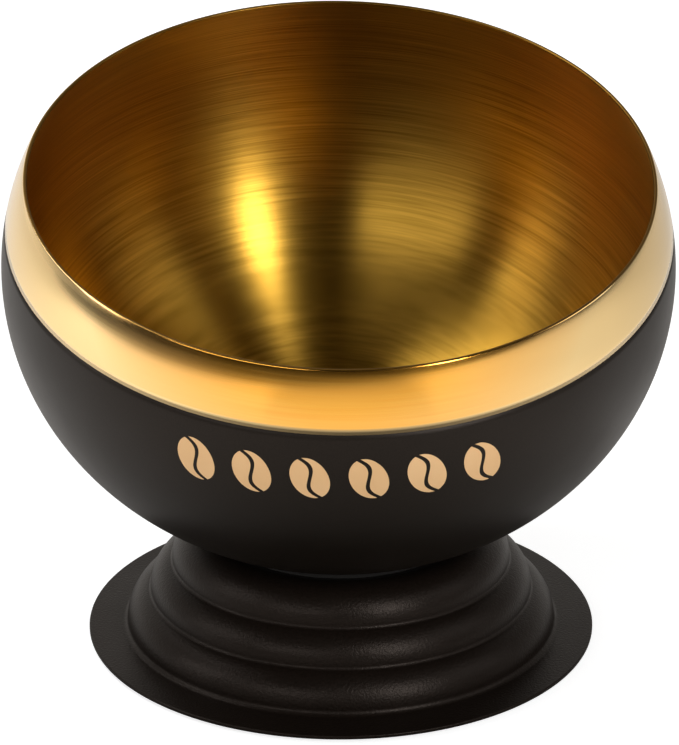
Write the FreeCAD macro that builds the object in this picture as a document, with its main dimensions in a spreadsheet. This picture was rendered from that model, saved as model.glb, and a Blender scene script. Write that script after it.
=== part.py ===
# Footed pod bowl: a tilted spun bowl on a stepped, hollow pedestal.
#
# Frame: +Z up, the viewer's side is -Y, and the origin is the centre of the foot on the surface it stands on.
# Everything turned shares the pedestal's axis, the Z axis. Only the bowl leans, towards -Y. Its bottom is a
# part of a sphere whose centre lies on that axis, as the centre of the pedestal's dish does, so the bowl beds
# on an even gasket at any tilt. A stud welded at its lowest point and a nut under the dish hold it down.
import FreeCAD, Part
import math
import os

import Sketcher

DRIVING = {
    # bowl: a round bottom that runs into a tighter side, up past its widest ring to the rim
    "bowl_radius": 85.0,
    "bottom_round": 95.5,
    "side_round": 64.5,
    "bowl_tilt": 20.0,
    "rim_height": 29.9,
    "bowl_sheet": 1.0,
    "rim_rounding": 0.4,
    # pedestal: radii of the flange and of the three steps, and the roundings between them
    "flange_radius": 66.4,
    "pedestal_sheet": 1.0,
    "lower_fillet": 1.4,
    "lower_radius": 56.2,
    "lower_round": 8.0,
    "middle_fillet": 1.0,
    "middle_radius": 50.0,
    "middle_round": 7.5,
    "upper_fillet": 1.0,
    "upper_radius": 44.2,
    "upper_round": 8.0,
    "flange_rounding": 0.3,
    # anti-slip pad under the flange
    "pad_thickness": 1.0,
    "pad_inset": 3.0,
    # seat between pedestal and bowl
    "gasket_thickness": 1.5,
    "gasket_inner": 24.0,
    "gasket_outer": 31.5,
    "seat_clearance": 0.3,
    "contact_gap": 0.05,
    # M6 stud and its fastening
    "stud_radius": 3.0,
    "stud_flange": 6.0,
    "stud_overrun": 1.5,
    "stud_chamfer": 0.7,
    "stud_play": 0.4,
    "washer_outer": 6.0,
    "washer_thickness": 1.6,
    "washer_play": 0.2,
    "spring_outer": 5.9,
    "spring_thickness": 1.6,
    "spring_slot": 1.2,
    "nut_flats": 10.0,
    "nut_height": 5.0,
    "nut_chamfer": 0.6,
    "thread_play": 0.05,
}

# An edge rounding takes at most this share of the sheet, and a cut leaves between these shares of its blank.
ROUNDING_SHARE = 0.45
LEAST_LEFT = 0.8
MOST_LEFT = 0.999
SAME = 0.01

doc = FreeCAD.newDocument("PodBowl")
sizes = doc.addObject("Spreadsheet::Sheet", "Sizes")
for row, (alias, value) in enumerate(DRIVING.items(), start=1):
    sizes.set(f"A{row}", alias)
    sizes.set(f"B{row}", str(value))
    sizes.setAlias(f"B{row}", alias)
doc.recompute()

# Heights on the Z axis as expressions, each from the one below it.
FLANGE_TOP = "(Sizes.pad_thickness + Sizes.pedestal_sheet)"
SEAT_CENTRE = "PedestalProfile.Constraints.dish_centre"
DISH_BOTTOM = f"({SEAT_CENTRE} - (Sizes.bottom_round + Sizes.gasket_thickness) * 1 mm)"
SEAT_UNDERSIDE = f"({DISH_BOTTOM} - Sizes.pedestal_sheet * 1 mm)"
WASHER_BOTTOM = f"({SEAT_UNDERSIDE} - Sizes.washer_thickness * 1 mm)"
SPRING_BOTTOM = f"({WASHER_BOTTOM} - Sizes.spring_thickness * 1 mm)"
NUT_BOTTOM = f"({SPRING_BOTTOM} - Sizes.nut_height * 1 mm)"
STUD_LENGTH = (
    "(Sizes.gasket_thickness + Sizes.pedestal_sheet + Sizes.washer_thickness + Sizes.spring_thickness"
    " + Sizes.nut_height + Sizes.stud_overrun - Sizes.contact_gap)"
)


def mm(alias):
    """The value of one driving dimension, for drawing a sketch near its solved place."""
    return DRIVING[alias]


def origin_feature(body, role):
    """An origin plane or axis of a body, by its role."""
    return next(o for o in body.Origin.OriginFeatures if o.Role == role)


def add_body(name):
    body = doc.addObject("PartDesign::Body", name)
    body.Label = name
    return body


def add_sketch(body, name, role="XZ_Plane"):
    sketch = body.newObject("Sketcher::SketchObject", name)
    sketch.AttachmentSupport = (origin_feature(body, role), [""])
    sketch.MapMode = "FlatFace"
    return sketch


def size(sketch, name, constraint, expression):
    """Adds a named dimension to a sketch and ties it to the sheet."""
    index = sketch.addConstraint(constraint)
    sketch.renameConstraint(index, name)
    sketch.setExpression(f"Constraints.{name}", expression)


def revolve(body, sketch):
    turned = body.newObject("PartDesign::Revolution", f"{body.Name}Turned")
    turned.Profile = sketch
    turned.ReferenceAxis = (sketch, ["V_Axis"])
    turned.Angle = 360.0
    sketch.Visibility = False
    return turned


def circles(feature, wanted):
    """Names of a feature's round edges whose circle is a wanted one."""
    names = []
    for i, edge in enumerate(feature.Shape.Edges, start=1):
        if edge.Degenerated or not isinstance(edge.Curve, Part.Circle):
            continue
        if wanted(edge.Curve):
            names.append(f"Edge{i}")
    return names


def turned_polygon(body, name, corners, links, dimensions):
    """A closed polygon of lines in the XZ plane. Links are (kind, edge) pairs, dimensions are
    (name, edge, end, axis, expression), measured from the origin."""
    sketch = add_sketch(body, name)
    count = len(corners)
    for i, (x, z) in enumerate(corners):
        nx, nz = corners[(i + 1) % count]
        sketch.addGeometry(Part.LineSegment(FreeCAD.Vector(x, z, 0), FreeCAD.Vector(nx, nz, 0)), False)
    for i in range(count):
        sketch.addConstraint(Sketcher.Constraint("Coincident", i, 2, (i + 1) % count, 1))
    for kind, edge in links:
        sketch.addConstraint(Sketcher.Constraint(kind, edge))
    for label, edge, end, axis, expression in dimensions:
        at = corners[edge] if end == 1 else corners[(edge + 1) % count]
        value = at[0] if axis == "X" else at[1]
        size(sketch, label, Sketcher.Constraint(f"Distance{axis}", -1, 1, edge, end, value), expression)
    return sketch


def arc(sketch, centre, radius, start, end):
    """Draws an arc that runs counter-clockwise from the point start to the point end."""
    first = math.atan2(start[1] - centre[1], start[0] - centre[0])
    last = math.atan2(end[1] - centre[1], end[0] - centre[0])
    if last < first:
        last += 2 * math.pi
    circle = Part.Circle(FreeCAD.Vector(*centre, 0), FreeCAD.Vector(0, 0, 1), radius)
    return sketch.addGeometry(Part.ArcOfCircle(circle, first, last), False)


def between(centre, radius, other):
    """The point of a circle about centre that lies towards the point other."""
    span = math.dist(centre, other)
    return tuple(c + (o - c) * radius / span for c, o in zip(centre, other))


def profile_sketch(name):
    """A sketch in the XZ plane that stands by itself."""
    sketch = doc.addObject("Sketcher::SketchObject", name)
    sketch.Placement = FreeCAD.Placement(FreeCAD.Vector(), FreeCAD.Rotation(FreeCAD.Vector(1, 0, 0), 90))
    return sketch


def spun_sheet(name, profile, thickness, rounding, at_edge):
    """A spun sheet: the profile, thickened to one side, turned about Z and rounded along its cut edge."""
    section = doc.addObject("Part::Offset2D", f"{name}_section")
    section.Source = profile
    section.Mode = "Skin"
    section.Fill = True
    section.setExpression("Value", f"{thickness} * 1 mm")
    spun = doc.addObject("Part::Revolution", f"{name}_spun")
    spun.Source = section
    spun.Axis = FreeCAD.Vector(0, 0, 1)
    spun.Angle = 360.0
    doc.recompute()
    body = add_body(name)
    body.BaseFeature = spun
    doc.recompute()
    base = body.Group[0]
    rounded = body.newObject("PartDesign::Fillet", f"{name}_edge")
    rounded.Base = (base, circles(base, at_edge))
    rounded.setExpression("Radius", f"min({rounding}; {ROUNDING_SHARE} * {thickness}) * 1 mm")
    body.Tip = rounded
    return body


def bowl():
    """Spun bowl. Its own frame has the bottom sphere's centre at the origin and the rim square to Z."""
    profile = profile_sketch("BowlProfile")
    bottom, side, rim = mm("bottom_round"), mm("side_round"), mm("rim_height")
    across = mm("bowl_radius") - side
    side_centre = (across, -math.sqrt((bottom - side) ** 2 - across**2))
    joint = between((0.0, 0.0), bottom, side_centre)
    rim_end = (across + math.sqrt(side**2 - rim**2), side_centre[1] + rim)
    wall = arc(profile, side_centre, side, joint, rim_end)
    cup = arc(profile, (0.0, 0.0), bottom, (0.0, -bottom), joint)
    profile.addConstraint(Sketcher.Constraint("Tangent", cup, 2, wall, 1))
    profile.addConstraint(Sketcher.Constraint("Coincident", cup, 3, -1, 1))
    profile.addConstraint(Sketcher.Constraint("PointOnObject", cup, 1, -2))
    size(profile, "bottom_round", Sketcher.Constraint("Radius", cup, bottom), "Sizes.bottom_round")
    size(profile, "side_round", Sketcher.Constraint("Radius", wall, side), "Sizes.side_round")
    widest = Sketcher.Constraint("DistanceX", -1, 1, wall, 3, across)
    size(profile, "side_centre", widest, "Sizes.bowl_radius - Sizes.side_round")
    up = Sketcher.Constraint("DistanceY", wall, 3, wall, 2, rim)
    size(profile, "rim_height", up, "Sizes.rim_height")
    near_rim = rim_end[1] - mm("bowl_sheet")
    body = spun_sheet(
        "bowl_shell",
        profile,
        "Sizes.bowl_sheet",
        "Sizes.rim_rounding",
        lambda circle: circle.Center.z > near_rim,
    )
    lean = FreeCAD.Rotation(FreeCAD.Vector(1, 0, 0), mm("bowl_tilt"))
    body.Placement = FreeCAD.Placement(FreeCAD.Vector(), lean)
    body.setExpression("Placement.Rotation.Angle", "Sizes.bowl_tilt * 1 deg")
    body.setExpression("Placement.Base.z", SEAT_CENTRE)
    return body


def pedestal():
    """Spun pedestal: one sheet that runs in from the flange over three rounded steps and down into the dish.
    The chain of arcs is its upper face, and the sheet's thickness is offset below it."""
    profile = profile_sketch("PedestalProfile")
    flange_top = mm("pad_thickness") + mm("pedestal_sheet")
    start = (mm("lower_radius") + mm("lower_fillet"), flange_top)
    flange = profile.addGeometry(
        Part.LineSegment(FreeCAD.Vector(mm("flange_radius"), flange_top, 0), FreeCAD.Vector(*start, 0)), False
    )
    steps = []
    for step in ("lower", "middle", "upper"):
        radius, fillet, round_ = (mm(f"{step}_{part}") for part in ("radius", "fillet", "round"))
        if not steps:
            height = flange_top + fillet
        else:
            below, below_round = steps[-1]["centre"], steps[-1]["round"]
            height = below[1] + math.sqrt((below_round + fillet) ** 2 - (radius + fillet - below[0]) ** 2)
            start = between(below, below_round, (radius + fillet, height))
        steps.append(
            {
                "name": step,
                "riser": (radius, height),
                "hollow": (radius + fillet, height),
                "fillet": fillet,
                "centre": (radius - round_, height),
                "round": round_,
                "start": start,
            }
        )
    top = steps[-1]
    dish = mm("bottom_round") + mm("gasket_thickness")
    hole = mm("stud_radius") + mm("stud_play")
    dish_centre = (0.0, top["centre"][1] + math.sqrt((dish + top["round"]) ** 2 - top["centre"][0] ** 2))
    crown = between(top["centre"], top["round"], dish_centre)
    hole_edge = (hole, dish_centre[1] - math.sqrt(dish**2 - hole**2))
    ends = [step["start"] for step in steps[1:]] + [crown]
    tangent = []
    previous = flange
    for step, end in zip(steps, ends):
        fillet = arc(profile, step["hollow"], step["fillet"], step["riser"], step["start"])
        swell = arc(profile, step["centre"], step["round"], step["riser"], end)
        tangent += [(previous, 2, fillet, 2), (fillet, 1, swell, 1)]
        previous = swell
        step["edges"] = (fillet, swell)
    bowl_rest = arc(profile, dish_centre, dish, hole_edge, crown)
    tangent.append((previous, 2, bowl_rest, 2))
    for joint in tangent:
        profile.addConstraint(Sketcher.Constraint("Tangent", *joint))
    profile.addConstraint(Sketcher.Constraint("Horizontal", flange))
    profile.addConstraint(Sketcher.Constraint("PointOnObject", bowl_rest, 3, -2))
    for step in steps:
        name = step["name"]
        fillet, swell = step["edges"]
        profile.addConstraint(Sketcher.Constraint("Horizontal", fillet, 3, swell, 3))
        hollow = Sketcher.Constraint("Radius", fillet, step["fillet"])
        size(profile, f"{name}_fillet", hollow, f"Sizes.{name}_fillet")
        bulge = Sketcher.Constraint("Radius", swell, step["round"])
        size(profile, f"{name}_round", bulge, f"Sizes.{name}_round")
        across = Sketcher.Constraint("DistanceX", -1, 1, fillet, 1, step["riser"][0])
        size(profile, f"{name}_radius", across, f"Sizes.{name}_radius")
    across = Sketcher.Constraint("DistanceX", -1, 1, flange, 1, mm("flange_radius"))
    size(profile, "flange_radius", across, "Sizes.flange_radius")
    up = Sketcher.Constraint("DistanceY", -1, 1, flange, 1, flange_top)
    size(profile, "flange_top", up, FLANGE_TOP)
    round_dish = Sketcher.Constraint("Radius", bowl_rest, dish)
    size(profile, "dish_radius", round_dish, "Sizes.bottom_round + Sizes.gasket_thickness")
    across = Sketcher.Constraint("DistanceX", -1, 1, bowl_rest, 1, hole)
    size(profile, "stud_hole", across, "Sizes.stud_radius + Sizes.stud_play")
    measured = profile.addConstraint(Sketcher.Constraint("DistanceY", -1, 1, bowl_rest, 3, dish_centre[1]))
    profile.setDriving(measured, False)
    profile.renameConstraint(measured, "dish_centre")

    at_flange = mm("flange_radius")
    return spun_sheet(
        "pedestal",
        profile,
        "Sizes.pedestal_sheet",
        "Sizes.flange_rounding",
        lambda circle: abs(circle.Radius - at_flange) < SAME,
    )


def seat_gasket():
    """Soft ring of even thickness between the pedestal's dish and the bowl's bottom."""
    body = add_body("seat_gasket")
    sketch = add_sketch(body, "GasketProfile")
    top = mm("bottom_round") + mm("contact_gap")
    under = mm("bottom_round") + mm("gasket_thickness") - mm("contact_gap")
    faces = []
    for radius in (top, under):
        inner, outer = ((x, -math.sqrt(radius**2 - x**2)) for x in (mm("gasket_inner"), mm("gasket_outer")))
        faces.append((arc(sketch, (0.0, 0.0), radius, inner, outer), inner, outer))
    (upper, top_inner, top_outer), (lower, under_inner, under_outer) = faces
    inside, outside = (
        sketch.addGeometry(Part.LineSegment(FreeCAD.Vector(*a, 0), FreeCAD.Vector(*b, 0)), False)
        for a, b in ((top_inner, under_inner), (top_outer, under_outer))
    )
    for face, end, line, line_end in (
        (upper, 1, inside, 1),
        (lower, 1, inside, 2),
        (upper, 2, outside, 1),
        (lower, 2, outside, 2),
    ):
        sketch.addConstraint(Sketcher.Constraint("Coincident", face, end, line, line_end))
    sketch.addConstraint(Sketcher.Constraint("Coincident", upper, 3, -1, 1))
    sketch.addConstraint(Sketcher.Constraint("Coincident", lower, 3, -1, 1))
    sketch.addConstraint(Sketcher.Constraint("Vertical", inside))
    sketch.addConstraint(Sketcher.Constraint("Vertical", outside))
    size(sketch, "top", Sketcher.Constraint("Radius", upper, top), "Sizes.bottom_round + Sizes.contact_gap")
    below = Sketcher.Constraint("Radius", lower, under)
    size(sketch, "under", below, "Sizes.bottom_round + Sizes.gasket_thickness - Sizes.contact_gap")
    near = Sketcher.Constraint("DistanceX", -1, 1, upper, 1, mm("gasket_inner"))
    size(sketch, "inner", near, "Sizes.gasket_inner")
    far = Sketcher.Constraint("DistanceX", -1, 1, upper, 2, mm("gasket_outer"))
    size(sketch, "outer", far, "Sizes.gasket_outer")
    revolve(body, sketch)
    body.setExpression("Placement.Base.z", SEAT_CENTRE)
    return body


def bowl_stud():
    """Threaded stud with a round base flange, welded under the bowl's lowest point."""
    body = add_body("bowl_stud")
    length = (
        mm("gasket_thickness") + mm("pedestal_sheet") + mm("washer_thickness") + mm("spring_thickness")
        + mm("nut_height") + mm("stud_overrun") - mm("contact_gap")
    )
    flange_under = length - (mm("gasket_thickness") - mm("seat_clearance"))
    shank, flange, chamfer = mm("stud_radius"), mm("stud_flange"), mm("stud_chamfer")
    corners = [
        (0.0, 0.0),
        (shank - chamfer, 0.0),
        (shank, chamfer),
        (shank, flange_under),
        (flange, flange_under),
        (flange, length),
        (0.0, length),
    ]
    under = f"{STUD_LENGTH} - (Sizes.gasket_thickness - Sizes.seat_clearance)"
    sketch = turned_polygon(
        body,
        "StudProfile",
        corners,
        [("Horizontal", 0), ("Vertical", 2), ("Horizontal", 3), ("Vertical", 4), ("Horizontal", 5), ("Vertical", 6)],
        [
            ("tip_radius", 0, 2, "X", "Sizes.stud_radius - Sizes.stud_chamfer"),
            ("shank_radius", 2, 1, "X", "Sizes.stud_radius"),
            ("chamfer", 2, 1, "Y", "Sizes.stud_chamfer"),
            ("flange_under", 3, 1, "Y", under),
            ("flange_radius", 4, 1, "X", "Sizes.stud_flange"),
            ("length", 5, 1, "Y", STUD_LENGTH),
        ],
    )
    sketch.addConstraint(Sketcher.Constraint("Coincident", 0, 1, -1, 1))
    revolve(body, sketch)
    body.setExpression("Placement.Base.z", f"{NUT_BOTTOM} - Sizes.stud_overrun * 1 mm")
    return body


def ring(name, outer, bore, thickness, bottom):
    """A flat ring: a pad between two circles, with its underside at the given height."""
    body = add_body(name)
    sketch = add_sketch(body, f"{body.Name}_outline", "XY_Plane")
    for label, radius, expression in (("outer", *outer), ("bore", *bore)):
        circle = sketch.addGeometry(Part.Circle(FreeCAD.Vector(), FreeCAD.Vector(0, 0, 1), radius), False)
        sketch.addConstraint(Sketcher.Constraint("Coincident", circle, 3, -1, 1))
        size(sketch, label, Sketcher.Constraint("Radius", circle, radius), expression)
    pad = body.newObject("PartDesign::Pad", f"{body.Name}_pad")
    pad.Profile = sketch
    pad.setExpression("Length", f"{thickness} * 1 mm")
    sketch.Visibility = False
    body.setExpression("Placement.Base.z", bottom)
    return body


def plain_washer():
    bore = (mm("stud_radius") + mm("washer_play"), "Sizes.stud_radius + Sizes.washer_play")
    outer = (mm("washer_outer"), "Sizes.washer_outer")
    return ring("plain_washer", outer, bore, "Sizes.washer_thickness", WASHER_BOTTOM)


def spring_washer():
    """Split ring, drawn as it lies when the nut has pressed it flat."""
    bore = (mm("stud_radius") + mm("washer_play"), "Sizes.stud_radius + Sizes.washer_play")
    outer = (mm("spring_outer"), "Sizes.spring_outer")
    body = ring("spring_washer", outer, bore, "Sizes.spring_thickness", SPRING_BOTTOM)
    doc.recompute()
    whole = body.Tip.Shape.Volume
    sketch = add_sketch(body, "SpringSlot")
    half, high = mm("spring_slot") / 2, mm("spring_thickness")
    lean = high / 2
    corners = [(-half - lean, 0.0), (half - lean, 0.0), (half + lean, high), (-half + lean, high)]
    for i, (x, z) in enumerate(corners):
        nx, nz = corners[(i + 1) % 4]
        sketch.addGeometry(Part.LineSegment(FreeCAD.Vector(x, z, 0), FreeCAD.Vector(nx, nz, 0)), False)
    for i in range(4):
        sketch.addConstraint(Sketcher.Constraint("Coincident", i, 2, (i + 1) % 4, 1))
    for kind, *edges in (("Horizontal", 0), ("Horizontal", 2), ("Parallel", 1, 3)):
        sketch.addConstraint(Sketcher.Constraint(kind, *edges))
    sketch.addConstraint(Sketcher.Constraint("PointOnObject", 0, 1, -1))
    across = Sketcher.Constraint("DistanceX", 0, 1, 0, 2, 2 * half)
    size(sketch, "slot", across, "Sizes.spring_slot")
    up = Sketcher.Constraint("DistanceY", -1, 1, 1, 2, high)
    size(sketch, "thickness", up, "Sizes.spring_thickness")
    left = Sketcher.Constraint("DistanceX", 0, 1, -1, 1, half + lean)
    size(sketch, "lower_end", left, "Sizes.spring_slot / 2 + Sizes.spring_thickness / 2")
    right = Sketcher.Constraint("DistanceX", -1, 1, 1, 2, half + lean)
    size(sketch, "upper_end", right, "Sizes.spring_slot / 2 + Sizes.spring_thickness / 2")
    slot = body.newObject("PartDesign::Pocket", "spring_slot")
    slot.Profile = sketch
    slot.Type = "Length"
    slot.setExpression("Length", "Sizes.spring_outer * 1 mm")
    slot.Reversed = True
    sketch.Visibility = False
    doc.recompute()
    if not LEAST_LEFT * whole < slot.Shape.Volume < MOST_LEFT * whole:
        raise ValueError("the spring washer's slot cuts nothing")
    return body


def hex_nut():
    """Hexagon nut with both ends of its corners turned off at a slant."""
    body = add_body("hex_nut")
    flats, height, chamfer = mm("nut_flats"), mm("nut_height"), mm("nut_chamfer")
    sketch = add_sketch(body, "NutOutline", "XY_Plane")
    corner = flats / math.sqrt(3)
    turns = [math.radians(60 * i) for i in range(6)]
    points = [FreeCAD.Vector(corner * math.cos(turn), corner * math.sin(turn), 0) for turn in turns]
    for i in range(6):
        sketch.addGeometry(Part.LineSegment(points[i], points[(i + 1) % 6]), False)
    guide = sketch.addGeometry(Part.Circle(FreeCAD.Vector(), FreeCAD.Vector(0, 0, 1), corner), True)
    bore = mm("stud_radius") + mm("thread_play")
    thread = sketch.addGeometry(Part.Circle(FreeCAD.Vector(), FreeCAD.Vector(0, 0, 1), bore), False)
    for i in range(6):
        sketch.addConstraint(Sketcher.Constraint("Coincident", i, 2, (i + 1) % 6, 1))
        sketch.addConstraint(Sketcher.Constraint("PointOnObject", i, 1, guide))
    for i in range(5):
        sketch.addConstraint(Sketcher.Constraint("Equal", i, i + 1))
    sketch.addConstraint(Sketcher.Constraint("PointOnObject", 0, 1, -1))
    sketch.addConstraint(Sketcher.Constraint("Coincident", guide, 3, -1, 1))
    sketch.addConstraint(Sketcher.Constraint("Coincident", thread, 3, -1, 1))
    size(sketch, "corner", Sketcher.Constraint("Radius", guide, corner), "Sizes.nut_flats / sqrt(3)")
    clear = Sketcher.Constraint("Radius", thread, bore)
    size(sketch, "thread", clear, "Sizes.stud_radius + Sizes.thread_play")
    pad = body.newObject("PartDesign::Pad", "NutBlock")
    pad.Profile = sketch
    pad.setExpression("Length", "Sizes.nut_height * 1 mm")
    sketch.Visibility = False
    doc.recompute()
    whole = pad.Shape.Volume
    shave = add_sketch(body, "NutCorners")
    reach = 2 * corner
    slope = chamfer / (corner - flats / 2)
    drop = (reach - flats / 2) * slope
    triangles = (
        [(flats / 2, 0.0), (reach, 0.0), (reach, drop)],
        [(flats / 2, height), (reach, height), (reach, height - drop)],
    )
    fall = "(2 * Sizes.nut_flats / sqrt(3) - Sizes.nut_flats / 2) * Sizes.nut_chamfer"
    fall += " / (Sizes.nut_flats / sqrt(3) - Sizes.nut_flats / 2)"
    for side, corners in zip(("lower", "upper"), triangles):
        first = shave.GeometryCount
        for i in range(3):
            a, b = corners[i], corners[(i + 1) % 3]
            shave.addGeometry(Part.LineSegment(FreeCAD.Vector(*a, 0), FreeCAD.Vector(*b, 0)), False)
        for i in range(3):
            shave.addConstraint(Sketcher.Constraint("Coincident", first + i, 2, first + (i + 1) % 3, 1))
        shave.addConstraint(Sketcher.Constraint("Horizontal", first))
        shave.addConstraint(Sketcher.Constraint("Vertical", first + 1))
        inner = Sketcher.Constraint("DistanceX", -1, 1, first, 1, flats / 2)
        size(shave, f"{side}_inner", inner, "Sizes.nut_flats / 2")
        outer = Sketcher.Constraint("DistanceX", -1, 1, first, 2, reach)
        size(shave, f"{side}_outer", outer, "2 * Sizes.nut_flats / sqrt(3)")
        if side == "lower":
            shave.addConstraint(Sketcher.Constraint("PointOnObject", first, 1, -1))
            end = Sketcher.Constraint("DistanceY", first + 1, 1, first + 1, 2, drop)
        else:
            at_top = Sketcher.Constraint("DistanceY", -1, 1, first, 1, height)
            size(shave, "upper_face", at_top, "Sizes.nut_height")
            end = Sketcher.Constraint("DistanceY", first + 1, 2, first + 1, 1, drop)
        size(shave, f"{side}_fall", end, fall)
    groove = body.newObject("PartDesign::Groove", "NutChamfer")
    groove.Profile = shave
    groove.ReferenceAxis = (shave, ["V_Axis"])
    groove.Angle = 360.0
    shave.Visibility = False
    doc.recompute()
    if not LEAST_LEFT * whole < groove.Shape.Volume < MOST_LEFT * whole:
        raise ValueError("the nut's corners aren't turned off")
    body.setExpression("Placement.Base.z", NUT_BOTTOM)
    return body


def base_pad():
    """Soft disc glued under the flange, which closes the pedestal's hollow and stands on the surface."""
    body = add_body("base_pad")
    sketch = add_sketch(body, "PadOutline", "XY_Plane")
    radius = mm("flange_radius") - mm("pad_inset")
    circle = sketch.addGeometry(Part.Circle(FreeCAD.Vector(), FreeCAD.Vector(0, 0, 1), radius), False)
    sketch.addConstraint(Sketcher.Constraint("Coincident", circle, 3, -1, 1))
    across = Sketcher.Constraint("Radius", circle, radius)
    size(sketch, "radius", across, "Sizes.flange_radius - Sizes.pad_inset")
    pad = body.newObject("PartDesign::Pad", "PadSheet")
    pad.Profile = sketch
    pad.setExpression("Length", "Sizes.pad_thickness * 1 mm")
    sketch.Visibility = False
    return body


def check(parts):
    """Every object is computed and every sub-part is a sound solid before anything is written."""
    for item in doc.Objects:
        if {"Invalid", "Error"} & set(item.State):
            raise ValueError(f"{item.Name} is not computed: {item.State}")
    for part in parts:
        if part.Shape.isNull() or not part.Shape.isValid() or not part.Shape.Solids:
            raise ValueError(f"{part.Label} has no sound shape")


def main():
    parts = [pedestal()]
    parts += [make() for make in (bowl, seat_gasket, bowl_stud, plain_washer, spring_washer, hex_nut, base_pad)]
    doc.recompute()
    check(parts)
    os.makedirs("parts", exist_ok=True)
    for part in parts:
        part.Shape.exportStep(os.path.join("parts", f"{part.Label}.step"))
        box = part.Shape.BoundBox
        print(f"{part.Label}: {len(part.Shape.Solids)} solid, {part.Shape.Volume / 1000:.2f} cm3, "
              f"z {box.ZMin:.2f} to {box.ZMax:.2f}")


main()
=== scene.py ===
import math

import bmesh
import bpy
from mathutils import Matrix, Vector


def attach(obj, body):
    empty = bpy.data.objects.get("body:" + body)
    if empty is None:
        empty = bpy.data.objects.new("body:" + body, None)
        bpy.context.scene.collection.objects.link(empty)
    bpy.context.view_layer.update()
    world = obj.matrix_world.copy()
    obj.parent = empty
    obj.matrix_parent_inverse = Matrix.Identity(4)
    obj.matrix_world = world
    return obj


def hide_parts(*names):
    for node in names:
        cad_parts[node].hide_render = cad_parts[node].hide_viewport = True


MM = 0.001

# Camera, in millimetres and degrees
FOCAL_LENGTH = 111.29
SENSOR_WIDTH = 36.0
CAMERA_DISTANCE = 587.64
CAMERA_TARGET = (-0.265, 0.0, 69.853)
CAMERA_ELEVATION = 20.423
CAMERA_AZIMUTH = -3.102
CAMERA_ROLL = -0.098

# Camera's nearest and furthest sight, in metres
CLIP_START = 0.05
CLIP_END = 20.0

# Bowl, measured in its own frame: origin at the bottom sphere's centre, Z along the bowl's axis
BOWL_CENTRE_HEIGHT = 118.575
BOWL_TILT = 20.0
BOTTOM_ROUND = 95.5
SIDE_ROUND = 64.5
WIDEST_RADIUS = 85.0
RIM_ABOVE_WIDEST = 29.9
SHEET = 1.0
RIM_ROUNDING = 0.4
BAND_ABOVE_WIDEST = 15.6
COAT_THICKNESS = 0.05
COAT_GAP = 0.01

# Pedestal: for each step the radius, the hollow before it and the rounding above it
FLANGE_RADIUS = 66.4
FLANGE_ROUNDING = 0.3
FLANGE_TOP = 2.0
STEPS = ((56.2, 1.4, 8.0), (50.0, 1.0, 7.5), (44.2, 1.0, 8.0))
DISH_ROUND = 97.0
STUD_HOLE = 3.4

# How finely a full turn, an arc and the rim's rounding are divided
SPIN_STEPS = 288
ARC_STEP_DEGREES = 1.6
LEAST_ARC_STEPS = 3
ROUNDING_STEPS = 6

# A point nearer the axis than ON_AXIS lies on it, a face whose normal points outwards by more than
# OUTWARD belongs to the outside, and the inside line ends BELOW_RIM under the rim's rounding
ON_AXIS = 1e-6
OUTWARD = 0.6
BELOW_RIM = 0.2

# Row of bean marks on the black front
BEAN_COUNT = 6
BEAN_SPACING = 13.4
BEAN_SHIFT = -4.3
BEAN_HALF_WIDTH = 4.3
BEAN_HALF_HEIGHT = 6.0
BEAN_LEAN = 24.0
BEAN_CREASE = 0.5
BEAN_CREASE_SWING = 1.3
BEAN_BELOW_BAND = 12.0
BEAN_END = 0.995
BEAN_ROWS = 28
BEAN_COLUMNS = 7
MARK_TOP = 0.03
MARK_DEPTH = 0.06

# Brush lines on the gold: how often they change in a turn and in a metre across
FINE_LINES = (2.2, 3000.0)
BROAD_LINES = (1.2, 700.0)
FINE_SHARE = 0.75
LEAST_BRUSH_RADIUS = 0.0005
BRUSH_OUTWARD = 0.6
BRUSH_DOWNWARD = 0.8
QUARTER_TURN = 0.25

# Gold apart from its lines
MOTTLE_SCALE = 30.0
LINES_AND_MOTTLE = (0.7, 1.3)
SLANT_BLEND = 0.35
LACQUER_ROUGHNESS = 0.12

# Black coats
SPECK_RANGE = (0.35, 0.65)
CLOUD_SCALE = 45.0
ROUGHNESS_SWING = 0.03
COAT_TINT = (1.0, 0.84, 0.74, 1.0)

# Span that most values of a noise lie in
NOISE_RANGE = (0.3, 0.7)

# Dark and light tone of zinc, of the marks' ink and of the floor's paper
ZINC = ((0.50, 0.51, 0.52, 1.0), (0.68, 0.68, 0.67, 1.0))
INK = ((0.84, 0.50, 0.22, 1.0), (0.96, 0.62, 0.32, 1.0))
PAPER = ((0.56, 0.56, 0.56, 1.0), (0.60, 0.60, 0.60, 1.0))

WHITE = (1.0, 1.0, 1.0, 1.0)
WARM_WHITE = (1.0, 0.95, 0.89, 1.0)
BLACK = (0.0, 0.0, 0.0, 1.0)

# World to all but the camera, as shares of white, and the spans of its direction where they change
FRONT_GREY = 0.02
BACK_GREY = 0.95
FRONT_TO_BACK = (-0.15, 0.75)
HIGH_GREY = 0.45
LOW_TO_HIGH = (0.1, 0.55)
MIDDLE_TO_RIGHT = (0.0, 0.7)

# Share left at the far right, of the world and of the floor
RIGHT_SHADE = 0.7

# Floor, in metres and as shares of white
FLOOR_HALF = 12.0
PAPER_GRAIN = 400.0
FLOOR_LIFT = 0.76
NEAR_FLOOR = 0.2
FAR_FLOOR = 1.4
MIRRORED_LEVEL = 0.8
MIRRORED_SHADE = 0.85

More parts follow.
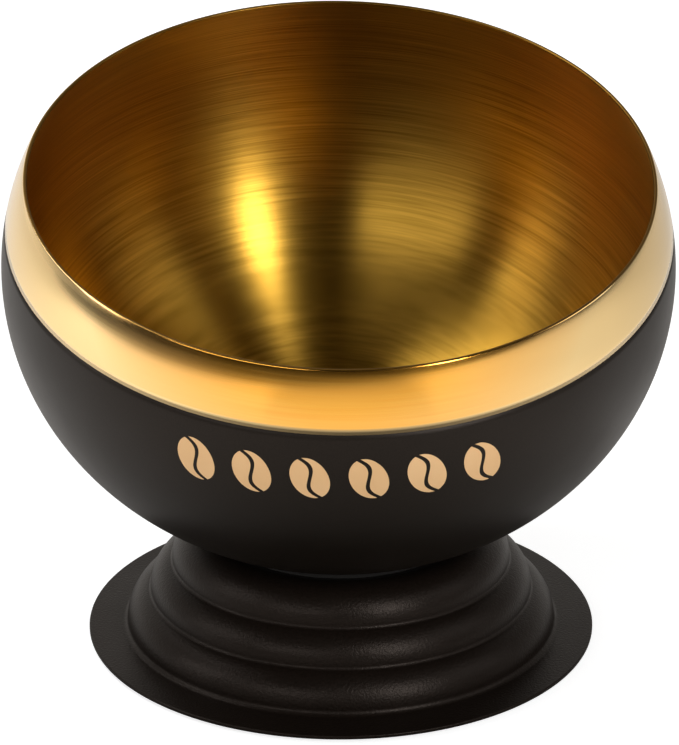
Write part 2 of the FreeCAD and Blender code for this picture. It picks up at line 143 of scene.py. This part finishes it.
# Darker parts of the floor as the object mirrors it, in metres and shares
DARK_FROM = 0.18
DARK_FULL = 0.8
DARK_FAN = (0.105, 0.45)
FAN_TIP = 0.01
TABLE_EDGE = 0.52
TABLE_EDGE_SOFT = 0.08
TABLE_EDGE_SLANT = 0.4
# Painted shadow: the floor that the object mirrors is darker close round it, down to CONTACT_SHADE
CONTACT_FROM = 0.05
CONTACT_TO = 0.15
CONTACT_SHADE = 0.15
CONTACT_SQUASH = 0.72
SIDE_REACH = 0.4
BACK_SHADE = 0.8

# Lamps: place, the point that each faces, width, height and power, in metres and watts
LAMPS = {
    "top_box": ((-0.55, 0.2, 1.2), (0.0, 0.0, 0.05), 0.6, 0.7, 6.0),
    "front_box": ((0.47, -0.86, 0.5), (0.0, 0.0, 0.1), 0.16, 0.6, 5.5),
    "low_box": ((-0.62, -1.0, 0.5), (0.0, 0.0, 0.02), 0.9, 0.3, 3.0),
    "left_box": ((-1.15, -0.2, 0.55), (0.0, 0.0, 0.05), 0.35, 0.7, 3.0),
    "right_box": ((1.1, -0.25, 0.7), (0.0, 0.0, 0.08), 0.5, 0.9, 1.8),
}


class Nodes:
    """Short calls for building a node tree."""

    def __init__(self, tree):
        self.tree = tree
        tree.nodes.clear()

    def add(self, kind, inputs=None, **settings):
        node = self.tree.nodes.new(kind)
        for key, value in settings.items():
            setattr(node, key, value)
        for key, value in (inputs or {}).items():
            self.put(node.inputs[key], value)
        return node

    def put(self, socket, value):
        if isinstance(value, bpy.types.NodeSocket):
            self.tree.links.new(value, socket)
        else:
            socket.default_value = value

    def math(self, operation, *values):
        node = self.add("ShaderNodeMath", operation=operation)
        for socket, value in zip(node.inputs, values):
            self.put(socket, value)
        return node.outputs[0]

    def vector(self, operation, *values):
        node = self.add("ShaderNodeVectorMath", operation=operation)
        for socket, value in zip(node.inputs, values):
            self.put(socket, value)
        return node.outputs["Value" if operation == "LENGTH" else "Vector"]

    def ramp(self, factor, low, high, to_low, to_high):
        node = self.add(
            "ShaderNodeMapRange",
            {
                "Value": factor,
                "From Min": low,
                "From Max": high,
                "To Min": to_low,
                "To Max": to_high,
            },
        )
        return node.outputs["Result"]

    def noise(self, vector, scale, detail=2.0, roughness=0.5):
        node = self.add(
            "ShaderNodeTexNoise",
            {"Vector": vector, "Scale": scale, "Detail": detail, "Roughness": roughness},
        )
        return node.outputs["Fac"]

    def blend(self, factor, first, second):
        node = self.add("ShaderNodeMix", data_type="RGBA")
        self.put(node.inputs["Factor"], factor)
        self.put(node.inputs[6], first)
        self.put(node.inputs[7], second)
        return node.outputs[2]

    def bump(self, height, distance):
        node = self.add(
            "ShaderNodeBump",
            {"Height": height, "Distance": distance, "Strength": 1.0},
        )
        return node.outputs["Normal"]

    def surface(self, **inputs):
        names = {key.replace("_", " "): value for key, value in inputs.items()}
        shader = self.add("ShaderNodeBsdfPrincipled", names)
        self.add("ShaderNodeOutputMaterial", {"Surface": shader.outputs["BSDF"]})

    def choice(self, factor, first, second):
        """The first shader where factor is zero, the second where it is one."""
        node = self.add("ShaderNodeMixShader")
        for socket, value in zip(node.inputs, (factor, first, second)):
            self.put(socket, value)
        return node.outputs["Shader"]


def new_material(name):
    material = bpy.data.materials.new(name)
    material.use_nodes = True
    return material, Nodes(material.node_tree)


def object_coordinates(nodes):
    return nodes.add("ShaderNodeTexCoord").outputs["Object"]


def bowl_coordinates(nodes):
    """The place in the bowl's own frame, in metres."""
    lean = -math.radians(BOWL_TILT)
    height = BOWL_CENTRE_HEIGHT * MM
    turned = nodes.add(
        "ShaderNodeMapping",
        {
            "Vector": object_coordinates(nodes),
            "Location": (0.0, height * math.sin(lean), -height * math.cos(lean)),
            "Rotation": (lean, 0.0, 0.0),
        },
        vector_type="POINT",
    )
    return turned.outputs["Vector"]


def brush_direction(nodes):
    """The direction of the round brush lines: along circles about the bowl's axis."""
    split = nodes.add("ShaderNodeSeparateXYZ", {"Vector": bowl_coordinates(nodes)})
    x, y, _ = split.outputs
    across = nodes.math("MULTIPLY", y, -1.0)
    level = nodes.add("ShaderNodeCombineXYZ", {"X": across, "Y": x, "Z": 0.0}).outputs["Vector"]
    leaned = nodes.add(
        "ShaderNodeVectorRotate",
        {"Vector": level, "Angle": math.radians(BOWL_TILT)},
        rotation_type="X_AXIS",
    )
    return nodes.vector("NORMALIZE", leaned.outputs["Vector"])


def round_brushing(nodes, around, across):
    """A place to read noise at, which draws it out along circles about the bowl's axis."""
    split = nodes.add("ShaderNodeSeparateXYZ", {"Vector": bowl_coordinates(nodes)})
    x, y, z = split.outputs
    squares = nodes.math("MULTIPLY", x, x), nodes.math("MULTIPLY", y, y)
    radius = nodes.math("SQRT", nodes.math("ADD", *squares))
    safe = nodes.math("MAXIMUM", radius, LEAST_BRUSH_RADIUS)
    outward = nodes.math("MULTIPLY", radius, BRUSH_OUTWARD)
    along = nodes.math("SUBTRACT", outward, nodes.math("MULTIPLY", z, BRUSH_DOWNWARD))
    place = nodes.add(
        "ShaderNodeCombineXYZ",
        {
            "X": nodes.math("MULTIPLY", nodes.math("DIVIDE", x, safe), around),
            "Y": nodes.math("MULTIPLY", nodes.math("DIVIDE", y, safe), around),
            "Z": nodes.math("MULTIPLY", along, across),
        },
    )
    return place.outputs["Vector"]


def brushed_gold(name, deep, pale, edge, sheen_slants, roughness, spread, line_depth, lacquer):
    """Brushed or satin gold: round brush lines, and a painted sheen that is paler at a slant."""
    material, nodes = new_material(name)
    fine = nodes.noise(round_brushing(nodes, *FINE_LINES), 1.0, roughness=0.6)
    broad = nodes.noise(round_brushing(nodes, *BROAD_LINES), 1.0)
    fine = nodes.math("MULTIPLY", fine, FINE_SHARE)
    lines = nodes.math("ADD", fine, nodes.math("MULTIPLY", broad, 1.0 - FINE_SHARE))
    mottle = nodes.noise(object_coordinates(nodes), MOTTLE_SCALE, detail=1.0)
    facing = nodes.blend(nodes.ramp(lines, *NOISE_RANGE, 0.0, 1.0), deep, pale)
    # Painted sheen: the colour turns towards the edge colour where the surface is seen at a slant
    slant = nodes.add("ShaderNodeLayerWeight", {"Blend": SLANT_BLEND}).outputs["Facing"]
    colour = nodes.blend(nodes.ramp(slant, *sheen_slants, 0.0, 1.0), facing, edge)
    rough = nodes.ramp(nodes.math("ADD", lines, mottle), *LINES_AND_MOTTLE, *roughness)
    nodes.surface(
        Base_Color=colour,
        Metallic=1.0,
        Roughness=rough,
        Anisotropic=spread,
        Anisotropic_Rotation=QUARTER_TURN,
        Tangent=brush_direction(nodes),
        Coat_Weight=lacquer,
        Coat_Roughness=LACQUER_ROUGHNESS,
        Normal=nodes.bump(lines, line_depth),
    )
    return material


def powder_coat(name, colour, light, roughness, grain, grain_depth, level):
    """Black coat with a fine grain."""
    material, nodes = new_material(name)
    place = object_coordinates(nodes)
    speck = nodes.noise(place, grain, roughness=0.6)
    cloud = nodes.noise(place, CLOUD_SCALE, detail=3.0)
    smoother, rougher = roughness - ROUGHNESS_SWING, roughness + ROUGHNESS_SWING
    nodes.surface(
        Base_Color=nodes.blend(nodes.ramp(speck, *SPECK_RANGE, 0.0, 1.0), colour, light),
        Roughness=nodes.ramp(cloud, *NOISE_RANGE, smoother, rougher),
        Specular_IOR_Level=level,
        Specular_Tint=COAT_TINT,
        Normal=nodes.bump(speck, grain_depth),
    )
    return material


def plated_steel(name):
    """Bright zinc with a faint speckle."""
    material, nodes = new_material(name)
    speck = nodes.noise(object_coordinates(nodes), 900.0, detail=3.0)
    nodes.surface(
        Base_Color=nodes.blend(speck, *ZINC),
        Metallic=1.0,
        Roughness=nodes.ramp(speck, *NOISE_RANGE, 0.22, 0.36),
        Normal=nodes.bump(speck, 0.00001),
    )
    return material


def soft_rubber(name, dark, light, grain):
    """Matte rubber or foam with a fine grain."""
    material, nodes = new_material(name)
    speck = nodes.noise(object_coordinates(nodes), grain, detail=3.0)
    nodes.surface(
        Base_Color=nodes.blend(speck, dark, light),
        Roughness=nodes.ramp(speck, *NOISE_RANGE, 0.75, 0.9),
        Normal=nodes.bump(speck, 0.00008),
    )
    return material


def printed_gold(name):
    """Pale gold ink, a little uneven."""
    material, nodes = new_material(name)
    place = object_coordinates(nodes)
    speck = nodes.noise(place, 1500.0)
    cloud = nodes.noise(place, 60.0)
    nodes.surface(
        Base_Color=nodes.blend(cloud, *INK),
        Metallic=0.2,
        Roughness=nodes.ramp(speck, *NOISE_RANGE, 0.38, 0.5),
        Normal=nodes.bump(speck, 0.000004),
    )
    return material


def arc_points(centre, radius, start, end):
    count = max(LEAST_ARC_STEPS, math.ceil(abs(end - start) / ARC_STEP_DEGREES))
    angles = [math.radians(start + (end - start) * i / count) for i in range(count + 1)]
    return [(centre[0] + radius * math.cos(a), centre[1] + radius * math.sin(a)) for a in angles]


def bowl_side(offset):
    """Centre and radius of the side arc of a surface that lies offset inside the outside."""
    out = WIDEST_RADIUS - SIDE_ROUND
    height = -math.sqrt((BOTTOM_ROUND - SIDE_ROUND) ** 2 - out**2)
    return (out, height), SIDE_ROUND - offset


def side_angle(offset, height):
    centre, radius = bowl_side(offset)
    return math.degrees(math.asin((height - centre[1]) / radius))


def bowl_line(offset, top):
    """Points from the bowl's lowest point up to a height, at an offset from the outside."""
    centre, radius = bowl_side(offset)
    meet = math.degrees(math.atan2(centre[1], centre[0]))
    bottom = arc_points((0.0, 0.0), BOTTOM_ROUND - offset, -90.0, meet)
    side = arc_points(centre, radius, meet, side_angle(offset, top))
    return bottom + side[1:]


def widest_height():
    return bowl_side(0.0)[0][1]


def rim_height():
    return widest_height() + RIM_ABOVE_WIDEST


def band_height():
    return widest_height() + BAND_ABOVE_WIDEST


def rounded_rim():
    """The rim from the outside line to the inside line, with both corners rounded."""
    top = rim_height()
    points = []
    for offset, turn in ((0.0, -1.0), (SHEET, 1.0)):
        centre, radius = bowl_side(offset)
        inner = radius + turn * RIM_ROUNDING
        angle = math.asin((top - RIM_ROUNDING - centre[1]) / inner)
        middle = (centre[0] + inner * math.cos(angle), top - RIM_ROUNDING)
        start, end = (angle, math.pi / 2) if turn < 0 else (math.pi / 2, angle + math.pi)
        for i in range(ROUNDING_STEPS + 1):
            a = start + (end - start) * i / ROUNDING_STEPS
            out, up = RIM_ROUNDING * math.cos(a), RIM_ROUNDING * math.sin(a)
            points.append((middle[0] + out, middle[1] + up))
    return points


def spin(name, line, material, upright=False):
    """A closed body of revolution. A line that starts off the axis is closed on itself."""
    mesh = bmesh.new()
    rings = []
    for radius, height in line:
        if radius < ON_AXIS:
            rings.append([mesh.verts.new((0.0, 0.0, height * MM))])
            continue
        ring = []
        for i in range(SPIN_STEPS):
            a = 2 * math.pi * i / SPIN_STEPS
            place = (radius * math.cos(a) * MM, radius * math.sin(a) * MM, height * MM)
            ring.append(mesh.verts.new(place))
        rings.append(ring)
    pairs = list(zip(rings, rings[1:]))
    if len(rings[0]) > 1:
        pairs.append((rings[-1], rings[0]))
    for lower, upper in pairs:
        for i in range(SPIN_STEPS):
            j = (i + 1) % SPIN_STEPS
            corners = [lower[k % len(lower)] for k in (i, j)]
            corners += [upper[k % len(upper)] for k in (j, i)]
            unique = list(dict.fromkeys(corners))
            if len(unique) > 2:
                mesh.faces.new(unique)
    bmesh.ops.recalc_face_normals(mesh, faces=mesh.faces)
    if not upright:
        lean_with_bowl(mesh)
    return smooth_piece(name, mesh, material)


def lean_with_bowl(mesh):
    """Turns a mesh made in the bowl's own frame and lifts it onto the pedestal."""
    lift = Matrix.Translation((0.0, 0.0, BOWL_CENTRE_HEIGHT * MM))
    mesh.transform(lift @ Matrix.Rotation(math.radians(BOWL_TILT), 4, "X"))


def smooth_piece(name, mesh, material):
    data = bpy.data.meshes.new(name)
    mesh.to_mesh(data)
    mesh.free()
    for face in data.polygons:
        face.use_smooth = True
    data.materials.append(material)
    piece = bpy.data.objects.new(name, data)
    bpy.context.scene.collection.objects.link(piece)
    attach(piece, "root")
    return piece


def bowl_metal_line():
    """The metal sheet: under the coat, up the band, over the rim and down the inside."""
    under_coat = bowl_line(COAT_THICKNESS + COAT_GAP, band_height())
    centre, radius = bowl_side(0.0)
    start = side_angle(0.0, band_height())
    rim = rounded_rim()
    end = math.degrees(math.atan2(rim[0][1] - centre[1], rim[0][0] - centre[0]))
    band = arc_points(centre, radius, start, end)
    inside = bowl_line(SHEET, rim_height())
    inside = [point for point in inside if point[1] < rim[-1][1] - BELOW_RIM]
    return under_coat + band[:-1] + rim + inside[::-1]


def finish_sheet(sheet, band, edge):
    """Gives the sheet's outside its band finish and its cut edge a finish of its own."""
    sheet.data.materials.append(band)
    sheet.data.materials.append(edge)
    origin = Vector((0.0, 0.0, BOWL_CENTRE_HEIGHT * MM))
    axis = Matrix.Rotation(math.radians(BOWL_TILT), 3, "X") @ Vector((0.0, 0.0, 1.0))
    middle = origin + axis * widest_height() * MM
    for face in sheet.data.polygons:
        outward = face.normal.dot((face.center - middle).normalized())
        height = (face.center - origin).dot(axis)
        if outward > OUTWARD:
            face.material_index = 1
        elif height > (rim_height() - RIM_ROUNDING) * MM:
            face.material_index = 2


def coat_line():
    """The black coat: a thin closed skin on the outside, up to the band's lower edge."""
    outer = bowl_line(0.0, band_height())
    inner = bowl_line(COAT_THICKNESS, band_height())
    return outer + inner[::-1]


def step_centres():
    """For each step: its hollow's centre, its rounding's centre and the hollow's first angle."""
    found = []
    start = -90.0
    for radius, hollow, rounding in STEPS:
        if not found:
            height = FLANGE_TOP + hollow
        else:
            below, reach = found[-1][1], STEPS[len(found) - 1][2] + hollow
            across = radius + hollow - below[0]
            height = below[1] + math.sqrt(reach**2 - across**2)
            start = math.degrees(math.atan2(height - below[1], across)) - 180.0
        found.append(((radius + hollow, height), (radius - rounding, height), start))
    return found


def pedestal_face(depth):
    """Points from the flange to the stud hole on a face that lies depth below the upper face."""
    steps = step_centres()
    top = steps[-1][1]
    dish_height = top[1] + math.sqrt((DISH_ROUND + STEPS[-1][2]) ** 2 - top[0] ** 2)
    crown = math.degrees(math.atan2(dish_height - top[1], -top[0]))
    ends = [step[2] + 180.0 for step in steps[1:]] + [crown]
    points = []
    for (below, above, start), (_, hollow, rounding), end in zip(steps, STEPS, ends):
        points += arc_points(below, hollow + depth, start, -180.0)
        points += arc_points(above, rounding - depth, 0.0, end)[1:]
    hole = -90.0 + math.degrees(math.asin(STUD_HOLE / (DISH_ROUND + depth)))
    points += arc_points((0.0, dish_height), DISH_ROUND + depth, crown - 180.0, hole)[1:]
    return points


def pedestal_line():
    """The pedestal's sheet: upper face, stud hole, underside and the rounded flange edge."""
    upper = pedestal_face(0.0)
    under = pedestal_face(SHEET)
    out = FLANGE_RADIUS - FLANGE_ROUNDING
    bottom = arc_points((out, FLANGE_TOP - SHEET + FLANGE_ROUNDING), FLANGE_ROUNDING, -90.0, 0.0)
    top = arc_points((out, FLANGE_TOP - FLANGE_ROUNDING), FLANGE_ROUNDING, 0.0, 90.0)
    return upper + under[::-1] + bottom + top


def bowl_outside(turn, below_band, lift):
    """Point on the bowl's outside: radians from the front, millimetres below the band and out."""
    centre, radius = bowl_side(0.0)
    angle = math.radians(side_angle(0.0, band_height())) - below_band / radius
    out = centre[0] + (radius + lift) * math.cos(angle)
    height = centre[1] + (radius + lift) * math.sin(angle)
    return Vector((out * math.sin(turn) * MM, -out * math.cos(turn) * MM, height * MM))


def bean_half(mesh, middle, side):
    """One half of a bean on the bowl's outside, as a thin closed slab."""
    lean = math.radians(BEAN_LEAN)
    layers = []
    for lift in (MARK_TOP, MARK_TOP - MARK_DEPTH):
        rows = []
        for i in range(BEAN_ROWS + 1):
            t = BEAN_END * math.sin((-1.0 + 2.0 * i / BEAN_ROWS) * math.pi / 2)
            edge = side * BEAN_HALF_WIDTH * math.sqrt(1.0 - t * t)
            crease = BEAN_CREASE_SWING * math.sin(math.pi * t) + side * BEAN_CREASE
            crease = min(crease, edge) if side > 0 else max(crease, edge)
            row = []
            for j in range(BEAN_COLUMNS + 1):
                u = crease + (edge - crease) * j / BEAN_COLUMNS
                v = BEAN_HALF_HEIGHT * t
                across = u * math.cos(lean) - v * math.sin(lean)
                up = u * math.sin(lean) + v * math.cos(lean)
                turn = (middle + across) / WIDEST_RADIUS
                row.append(mesh.verts.new(bowl_outside(turn, BEAN_BELOW_BAND - up, lift)))
            rows.append(row)
        layers.append(rows)
    top, under = layers
    for i in range(BEAN_ROWS):
        for j in range(BEAN_COLUMNS):
            for rows in layers:
                mesh.faces.new((rows[i][j], rows[i][j + 1], rows[i + 1][j + 1], rows[i + 1][j]))
        for j in (0, BEAN_COLUMNS):
            mesh.faces.new((top[i][j], top[i + 1][j], under[i + 1][j], under[i][j]))
    for i in (0, BEAN_ROWS):
        for j in range(BEAN_COLUMNS):
            mesh.faces.new((top[i][j], top[i][j + 1], under[i][j + 1], under[i][j]))


def bean_marks(material):
    """A row of plain coffee beans, a few hundredths of a millimetre thick."""
    mesh = bmesh.new()
    for i in range(BEAN_COUNT):
        middle = BEAN_SHIFT + (i - (BEAN_COUNT - 1) / 2) * BEAN_SPACING
        for side in (-1.0, 1.0):
            bean_half(mesh, middle, side)
    bmesh.ops.recalc_face_normals(mesh, faces=mesh.faces)
    lean_with_bowl(mesh)
    piece = smooth_piece("bean_marks", mesh, material)
    for face in piece.data.polygons:
        face.use_smooth = False


def camera():
    azimuth = math.radians(CAMERA_AZIMUTH)
    elevation = math.radians(CAMERA_ELEVATION)
    target = Vector(CAMERA_TARGET)
    back = Vector(
        (
            math.sin(azimuth) * math.cos(elevation),
            -math.cos(azimuth) * math.cos(elevation),
            math.sin(elevation),
        )
    )
    data = bpy.data.cameras.new("camera")
    data.lens = FOCAL_LENGTH
    data.sensor_width = SENSOR_WIDTH
    data.clip_start = CLIP_START
    data.clip_end = CLIP_END
    holder = bpy.data.objects.new("camera", data)
    bpy.context.scene.collection.objects.link(holder)
    holder.location = (target + back * CAMERA_DISTANCE) * MM
    look = (-back).to_track_quat("-Z", "Y")
    roll = Matrix.Rotation(math.radians(CAMERA_ROLL), 4, "Z").to_quaternion()
    holder.rotation_mode = "QUATERNION"
    holder.rotation_quaternion = look @ roll
    bpy.context.scene.camera = holder


def softbox(name, place, aim, width, height, power):
    data = bpy.data.lights.new(name, "AREA")
    data.shape = "RECTANGLE"
    data.size = width
    data.size_y = height
    data.energy = power
    lamp = bpy.data.objects.new(name, data)
    bpy.context.scene.collection.objects.link(lamp)
    lamp.location = place
    lamp.rotation_mode = "QUATERNION"
    lamp.rotation_quaternion = (Vector(aim) - Vector(place)).to_track_quat("-Z", "Y")


def white_world():
    """White to the camera. To the rest it is pale behind the object, dark on the camera's side and
    less bright high up and to the right."""
    world = bpy.data.worlds.new("studio")
    bpy.context.scene.world = world
    world.use_nodes = True
    nodes = Nodes(world.node_tree)
    path = nodes.add("ShaderNodeLightPath")
    direction = nodes.add("ShaderNodeTexCoord").outputs["Generated"]
    x, y, z = nodes.add("ShaderNodeSeparateXYZ", {"Vector": direction}).outputs
    behind = nodes.ramp(y, *FRONT_TO_BACK, FRONT_GREY, BACK_GREY)
    low = nodes.ramp(z, *LOW_TO_HIGH, 1.0, HIGH_GREY)
    left = nodes.ramp(x, *MIDDLE_TO_RIGHT, 1.0, RIGHT_SHADE)
    grey = nodes.math("MULTIPLY", behind, nodes.math("MULTIPLY", low, left))
    lit = nodes.add("ShaderNodeBackground", {"Color": WARM_WHITE, "Strength": grey})
    seen = nodes.add("ShaderNodeBackground", {"Color": WHITE, "Strength": 1.0})
    chosen = nodes.choice(
        path.outputs["Is Camera Ray"], lit.outputs["Background"], seen.outputs["Background"]
    )
    nodes.add("ShaderNodeOutputWorld", {"Surface": chosen})


def mirrored_pattern(nodes):
    """How bright the floor is as the object mirrors it: less close round the object, where its
    shadow is painted, in a fan that opens ahead of it, beyond a slanted table edge, to the right
    and behind."""
    place = object_coordinates(nodes)
    x, y, _ = nodes.add("ShaderNodeSeparateXYZ", {"Vector": place}).outputs
    ahead = nodes.math("MAXIMUM", nodes.math("MULTIPLY", y, -1.0), 0.0)
    aside = nodes.math("ABSOLUTE", x)
    wide = nodes.math("DIVIDE", aside, nodes.math("ADD", ahead, FAN_TIP))
    off_side = nodes.ramp(wide, *DARK_FAN, 0.0, 1.0)
    near = nodes.ramp(ahead, DARK_FROM, DARK_FULL, 1.0, 0.0)
    # Painted shadow of the object, close round it
    squashed = nodes.vector("MULTIPLY", place, (1.0, CONTACT_SQUASH, 1.0))
    away = nodes.vector("LENGTH", squashed)
    clear = nodes.ramp(away, CONTACT_FROM, CONTACT_TO, CONTACT_SHADE, 1.0)
    slanted = nodes.math("ADD", y, nodes.math("MULTIPLY", x, TABLE_EDGE_SLANT))
    table = nodes.ramp(slanted, -TABLE_EDGE - TABLE_EDGE_SOFT, -TABLE_EDGE, 0.0, 1.0)
    right = nodes.ramp(x, 0.0, SIDE_REACH, 1.0, RIGHT_SHADE)
    back = nodes.ramp(y, 0.0, SIDE_REACH, 1.0, BACK_SHADE)
    pattern = nodes.math("MAXIMUM", off_side, near)
    for share in (clear, table, right, back):
        pattern = nodes.math("MULTIPLY", pattern, share)
    return pattern


def floor_paper():
    """Pale paper: white to the camera, darker in parts to glossy rays, see-through from below."""
    material, nodes = new_material("floor_paper")
    place = object_coordinates(nodes)
    path = nodes.add("ShaderNodeLightPath")
    glossy = path.outputs["Is Glossy Ray"]
    away = nodes.vector("LENGTH", place)
    lift = nodes.ramp(away, NEAR_FLOOR, FAR_FLOOR, FLOOR_LIFT, 1.0)
    seen = nodes.math("MULTIPLY", path.outputs["Is Camera Ray"], lift)
    pattern = mirrored_pattern(nodes)
    level = nodes.math("MULTIPLY", nodes.math("MULTIPLY", glossy, MIRRORED_LEVEL), lift)
    mirrored = nodes.math("MULTIPLY", level, pattern)
    # Painted shade: to glossy rays the paper's own colour turns darker where the pattern is low
    shade = nodes.math("MULTIPLY", glossy, nodes.math("SUBTRACT", 1.0, pattern))
    darker = nodes.math("MULTIPLY", shade, MIRRORED_SHADE)
    pale = nodes.blend(nodes.noise(place, PAPER_GRAIN), *PAPER)
    paper = nodes.add(
        "ShaderNodeBsdfPrincipled",
        {
            "Base Color": nodes.blend(darker, pale, BLACK),
            "Roughness": 0.9,
            "Specular IOR Level": 0.1,
            "Emission Color": nodes.blend(glossy, WHITE, WARM_WHITE),
            "Emission Strength": nodes.math("ADD", seen, mirrored),
        },
    )
    under = nodes.add("ShaderNodeNewGeometry").outputs["Backfacing"]
    clear = nodes.add("ShaderNodeBsdfTransparent")
    chosen = nodes.choice(under, paper.outputs["BSDF"], clear.outputs["BSDF"])
    nodes.add("ShaderNodeOutputMaterial", {"Surface": chosen})
    return material


def floor():
    mesh = bmesh.new()
    bmesh.ops.create_grid(mesh, x_segments=1, y_segments=1, size=FLOOR_HALF)
    data = bpy.data.meshes.new("floor")
    mesh.to_mesh(data)
    mesh.free()
    data.materials.append(floor_paper())
    plane = bpy.data.objects.new("floor", data)
    bpy.context.scene.collection.objects.link(plane)


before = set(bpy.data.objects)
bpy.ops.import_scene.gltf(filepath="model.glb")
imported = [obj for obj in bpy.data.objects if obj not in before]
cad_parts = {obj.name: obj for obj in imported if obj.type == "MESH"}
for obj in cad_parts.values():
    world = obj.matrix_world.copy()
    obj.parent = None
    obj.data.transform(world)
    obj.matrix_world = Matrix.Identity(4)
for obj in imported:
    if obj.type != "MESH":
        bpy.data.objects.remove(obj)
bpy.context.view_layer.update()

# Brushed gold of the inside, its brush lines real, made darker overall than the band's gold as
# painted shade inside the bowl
inside_gold_and_shade = brushed_gold(
    "brushed_gold",
    (0.31, 0.17, 0.02, 1.0),
    (0.60, 0.34, 0.05, 1.0),
    (0.64, 0.38, 0.08, 1.0),
    sheen_slants=(0.25, 0.95),
    roughness=(0.29, 0.35),
    spread=0.85,
    line_depth=0.000006,
    lacquer=0.0,
)
band_gold = brushed_gold(
    "satin_gold",
    (0.96, 0.425, 0.038, 1.0),
    (1.0, 0.50, 0.07, 1.0),
    (1.0, 0.72, 0.33, 1.0),
    sheen_slants=(0.05, 0.24),
    roughness=(0.13, 0.18),
    spread=0.3,
    line_depth=0.000003,
    lacquer=0.5,
)
rim_gold = brushed_gold(
    "rim_edge",
    (0.16, 0.08, 0.012, 1.0),
    (0.24, 0.125, 0.02, 1.0),
    (0.30, 0.17, 0.04, 1.0),
    sheen_slants=(0.25, 0.95),
    roughness=(0.28, 0.34),
    spread=0.0,
    line_depth=0.000003,
    lacquer=0.0,
)
black = powder_coat(
    "satin_black",
    (0.005, 0.0036, 0.0024, 1.0),
    (0.009, 0.0066, 0.0045, 1.0),
    roughness=0.42,
    grain=2600.0,
    grain_depth=0.000006,
    level=0.24,
)
foot_black = powder_coat(
    "foot_black",
    (0.006, 0.004, 0.0028, 1.0),
    (0.009, 0.006, 0.0045, 1.0),
    roughness=0.38,
    grain=1500.0,
    grain_depth=0.0001,
    level=0.17,
)
steel = plated_steel("zinc_plate")
# Black rubber of the gasket, made darker still as painted shade in the gap under the bowl
rubber = soft_rubber("gasket_rubber", (0.008, 0.007, 0.006, 1.0), (0.016, 0.014, 0.012, 1.0), 700.0)
foam = soft_rubber("pad_foam", (0.02, 0.02, 0.02, 1.0), (0.10, 0.10, 0.10, 1.0), 420.0)

sheet = spin("bowl_metal_sheet", bowl_metal_line(), inside_gold_and_shade)
finish_sheet(sheet, band_gold, rim_gold)
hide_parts("bowl_shell")
coat = spin("bowl_black_coat", coat_line(), black)
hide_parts("bowl_shell")
foot = spin("pedestal_sheet", pedestal_line(), foot_black, upright=True)
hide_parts("pedestal")
bean_marks(printed_gold("printed_gold"))

NODE_MATERIALS = {
    "seat_gasket": rubber,
    "bowl_stud": steel,
    "plain_washer": steel,
    "spring_washer": steel,
    "hex_nut": steel,
    "base_pad": foam,
    "bowl_shell": inside_gold_and_shade,
    "pedestal": foot_black,
}
for node_name, node_material in NODE_MATERIALS.items():
    for node_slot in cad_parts[node_name].material_slots:
        node_slot.link = "OBJECT"
        node_slot.material = node_material

camera()
white_world()
floor()
for lamp_name, lamp_values in LAMPS.items():
    softbox(lamp_name, *lamp_values)

bpy.context.scene.view_settings.view_transform = "Standard"
